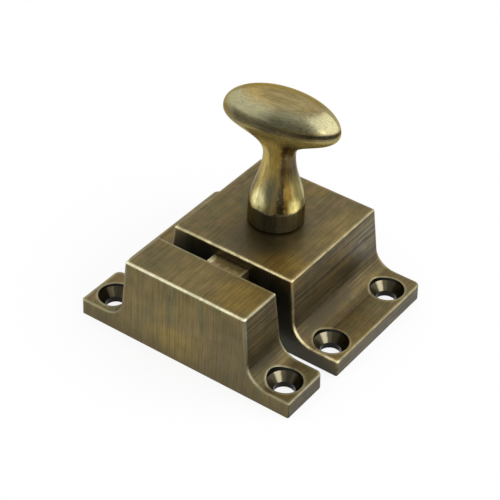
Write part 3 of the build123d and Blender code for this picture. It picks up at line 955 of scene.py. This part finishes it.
FINISHES = {
    "case": CASE_BRASS,
    "keeper": KEEPER_BRASS,
    "knob": KNOB_BRASS,
    "bolt": BOLT_BRASS,
    "thrust_washer": SHEET_BRASS,
    "back_plate": SHEET_BRASS,
    "cam": CAM_STEEL,
    "cam_screw": SCREW_STEEL,
    "plate_screw_front_left": SCREW_STEEL,
    "plate_screw_front_right": SCREW_STEEL,
    "plate_screw_rear_left": SCREW_STEEL,
    "plate_screw_rear_right": SCREW_STEEL,
    "spring_left": SPRING_STEEL,
    "spring_right": SPRING_STEEL,
}


def dress_nodes():
    """Each solid given its material, on the object and not on its mesh."""
    for name, material in FINISHES.items():
        for slot in frame["nodes"][name].material_slots:
            slot.link = "OBJECT"
            slot.material = material


# Springs, wound from round wire

WIRE_RADIUS = 0.175 * MM
SPRING_TURNS = 5.5
CLOSED_TURNS = 0.9
# In wire radii, so that closed turns lie just clear of one another
CLOSED_PITCH = 2.1
WIRE_STEPS = 220
WIRE_SIDES = 12


def spring_tree():
    """A wire wound along +Y from a centre, its turns closed at both ends."""
    tree = bpy.data.node_groups.new("coil spring", "GeometryNodeTree")
    for label, kind in (
        ("Centre", VECTOR),
        ("Length", FLOAT),
        ("Coil Radius", FLOAT),
        ("Wire Radius", FLOAT),
        ("Turns", FLOAT),
        ("Closed Turns", FLOAT),
        ("Steps", INTEGER),
        ("Sides", INTEGER),
        ("Material", MATERIAL),
    ):
        tree.interface.new_socket(label, in_out="INPUT", socket_type=kind)
    tree.interface.new_socket("Geometry", in_out="OUTPUT", socket_type=GEOMETRY)
    given = tree.nodes.new("NodeGroupInput").outputs
    sink = tree.nodes.new("NodeGroupOutput")

    line = add(tree, "GeometryNodeCurvePrimitiveLine")
    path = add(
        tree,
        "GeometryNodeResampleCurve",
        {"Curve": line.outputs[0], "Count": given["Steps"]},
        mode="COUNT",
    )
    share = add(tree, "GeometryNodeSplineParameter").outputs["Factor"]
    turn = product(tree, share, given["Turns"])
    angle = product(tree, turn, math.tau)
    sideways = product(tree, math_node(tree, "COSINE", angle), given["Coil Radius"])
    upwards = product(tree, math_node(tree, "SINE", angle), given["Coil Radius"])

    # Closed turns lie wire to wire, and the open ones share the rest of the length
    closed = given["Closed Turns"]
    closed_pitch = product(tree, given["Wire Radius"], CLOSED_PITCH)
    both_closed = product(tree, closed, 2.0)
    open_turns = math_node(tree, "SUBTRACT", given["Turns"], both_closed)
    open_length = math_node(
        tree, "SUBTRACT", given["Length"], product(tree, both_closed, closed_pitch)
    )
    open_pitch = math_node(tree, "DIVIDE", open_length, open_turns)
    first = math_node(tree, "MINIMUM", turn, closed)
    last_start = math_node(tree, "SUBTRACT", given["Turns"], closed)
    last = math_node(tree, "MAXIMUM", math_node(tree, "SUBTRACT", turn, last_start), 0.0)
    in_closed = math_node(tree, "ADD", first, last)
    in_open = math_node(tree, "SUBTRACT", turn, in_closed)
    rise = product(tree, in_closed, closed_pitch)
    rise = math_node(tree, "MULTIPLY_ADD", in_open, open_pitch, rise)
    on_coil = add(tree, "ShaderNodeCombineXYZ", {0: sideways, 1: rise, 2: upwards}).outputs[0]
    wound = add(
        tree,
        "GeometryNodeSetPosition",
        {
            "Geometry": path.outputs[0],
            "Position": vector_math(tree, "ADD", on_coil, given["Centre"]),
        },
    )
    ring = add(
        tree,
        "GeometryNodeCurvePrimitiveCircle",
        {"Resolution": given["Sides"], "Radius": given["Wire Radius"]},
    )
    wire = add(
        tree,
        "GeometryNodeCurveToMesh",
        {"Curve": wound.outputs[0], "Profile Curve": ring.outputs[0], "Fill Caps": True},
    )
    real = add(tree, "GeometryNodeRealizeInstances", {"Geometry": wire.outputs[0]})
    finished = add(
        tree,
        "GeometryNodeSetMaterial",
        {"Geometry": real.outputs[0], "Material": given["Material"]},
    )
    tree.links.new(finished.outputs[0], sink.inputs["Geometry"])
    return tree


def made_plain(name, tree, values):
    """A mesh object with what the tree makes from these values, and no modifier left on it."""
    piece = bpy.data.objects.new(name, bpy.data.meshes.new(name))
    bpy.context.scene.collection.objects.link(piece)
    modifier = piece.modifiers.new(name, "NODES")
    modifier.node_group = tree
    for item in tree.interface.items_tree:
        if item.in_out == "INPUT":
            modifier[item.identifier] = values[item.name]
    seen = piece.evaluated_get(bpy.context.evaluated_depsgraph_get())
    plain = bpy.data.meshes.new_from_object(seen)
    piece.modifiers.clear()
    piece.data = plain
    for face in plain.polygons:
        face.use_smooth = True
    return piece


def make_springs():
    """Round-wire springs in place of the plain ones, from the bolt's lug to the rear wall."""
    tree = spring_tree()
    joints = {joint["name"]: joint for joint in frame["record"]["behaviour"]["joints"]}
    slide = joints["bolt_slide"]
    for deforming in slide["deforming_nodes"]:
        node = deforming["node"]
        low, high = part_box(node)
        middle_x = (low[0] + high[0]) / 2
        middle_z = (low[2] + high[2]) / 2
        values = {
            "Centre": (middle_x, low[1] + WIRE_RADIUS, middle_z),
            "Length": high[1] - low[1] - 2 * WIRE_RADIUS,
            "Coil Radius": (high[0] - low[0]) / 2 - WIRE_RADIUS,
            "Wire Radius": WIRE_RADIUS,
            "Turns": SPRING_TURNS,
            "Closed Turns": CLOSED_TURNS,
            "Steps": WIRE_STEPS,
            "Sides": WIRE_SIDES,
            "Material": SPRING_STEEL,
        }
        piece = made_plain(f"{node}_wire", tree, values)
        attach(piece, "latch")
        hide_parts(node)
        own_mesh(piece)


# Floor, cards and light

WHITE = (1, 1, 1, 1)
SKY = 0.85
FLOOR_SIZE = 6.0
FLOOR_LIT = (0.86, 0.86, 0.86, 1)
FLOOR_WHITE = 0.84

# Each card's name, its profile of radius and height in millimetres, the first and last azimuth of
# its sweep in degrees, its level on the table and at a height, and that height. They are darker
# in front, where the camera stands.
CARDS = (
    ("front_table_card", ((54, 0.3), (420, 0.3)), -22, 38, 0.18, 0.18, 1),
    ("left_table_card", ((64, 0.3), (300, 0.3)), -56, -22, 0.4, 0.4, 1),
    ("front_wall_card", ((420, 0.3), (420, 120), (380, 260), (300, 380)), -14, 32, 0.12, 0.7, 340),
    ("right_table_card", ((70, 0.3), (190, 0.3)), 38, 125, 0.26, 0.26, 1),
)
SWEEP_STEPS = 48

# Each lamp's name, azimuth and elevation in degrees, distance, width, height and power
LAMPS = (
    ("right", 97, 31, 0.62, 1.6, 0.78, 4.9),
    ("low right", 52, 7, 0.6, 0.16, 0.1, 0.12),
    ("left", -66, 28, 0.62, 1.15, 0.66, 1.1),
)
LAMP_AIM = Vector((0, 0, 15 * MM))


def mesh_object(name, points, faces):
    """A mesh object made from its points and faces."""
    mesh = bpy.data.meshes.new(name)
    mesh.from_pydata(points, [], faces)
    made = bpy.data.objects.new(name, mesh)
    bpy.context.scene.collection.objects.link(made)
    return made


def make_floor():
    """A floor that looks almost white, whatever light falls on it, and still takes a shadow."""
    half = FLOOR_SIZE / 2
    corners = [(-half, -half, 0), (half, -half, 0), (half, half, 0), (-half, half, 0)]
    floor = mesh_object("floor", corners, [(0, 1, 2, 3)])
    material, tree, surface = bare_material("pale floor")
    path = add(tree, "ShaderNodeLightPath").outputs
    seen = math_node(tree, "MAXIMUM", path["Is Camera Ray"], path["Is Glossy Ray"])
    seen = math_node(tree, "MAXIMUM", seen, path["Is Transmission Ray"])
    lit = add(tree, "ShaderNodeBsdfDiffuse", {"Color": FLOOR_LIT}).outputs[0]
    white = add(tree, "ShaderNodeEmission", {"Color": WHITE, "Strength": 1.0}).outputs[0]
    both = add(tree, "ShaderNodeMixShader", {0: product(tree, seen, FLOOR_WHITE), 1: lit, 2: white})
    tree.links.new(both.outputs[0], surface)
    floor.data.materials.append(material)


def reflection_card(name, profile, first_azimuth, last_azimuth, low, high, top):
    """A card that only reflections show: a profile of (radius, height) swept round the object.

    Its level goes from low on the table to high at the height called top.
    """
    points = []
    for step in range(SWEEP_STEPS + 1):
        turn = math.radians(first_azimuth + (last_azimuth - first_azimuth) * step / SWEEP_STEPS)
        points += [(r * MM * math.sin(turn), -r * MM * math.cos(turn), z * MM) for r, z in profile]
    rows = len(profile)
    faces = []
    for step in range(SWEEP_STEPS):
        for row in range(rows - 1):
            corner = step * rows + row
            faces.append((corner, corner + rows, corner + rows + 1, corner + 1))
    card = mesh_object(name, points, faces)
    material, tree, surface = bare_material(name)
    height = split(tree, add(tree, "ShaderNodeTexCoord").outputs["Object"])["Z"]
    level = ease(tree, height, 0.0, top * MM, low, high)
    glow = add(tree, "ShaderNodeEmission", {"Color": WHITE, "Strength": level})
    tree.links.new(glow.outputs[0], surface)
    card.data.materials.append(material)
    card.visible_camera = False
    card.visible_shadow = False
    card.visible_diffuse = False


def soft_box(name, azimuth, elevation, distance, width, height, power):
    """An area lamp that looks at the object from a place round it."""
    data = bpy.data.lights.new(name, "AREA")
    data.shape = "RECTANGLE"
    data.size = width
    data.size_y = height
    data.energy = power
    lamp = bpy.data.objects.new(name, data)
    bpy.context.scene.collection.objects.link(lamp)
    towards = view_direction(math.radians(azimuth), math.radians(elevation))
    lamp.location = LAMP_AIM + towards * distance
    lamp.visible_camera = False
    lamp.rotation_mode = "QUATERNION"
    lamp.rotation_quaternion = (-towards).to_track_quat("-Z", "Y")


def make_light():
    """An even white sky and the lamps."""
    world = bpy.data.worlds.new("studio")
    bpy.context.scene.world = world
    world.use_nodes = True
    background = world.node_tree.nodes["Background"]
    set_inputs(world.node_tree, background, {"Color": WHITE, "Strength": SKY})
    for lamp in LAMPS:
        soft_box(*lamp)


make_camera()
dress_nodes()
make_springs()
make_floor()
for card in CARDS:
    reflection_card(*card)
make_light()
bpy.context.scene.view_settings.view_transform = "Standard"
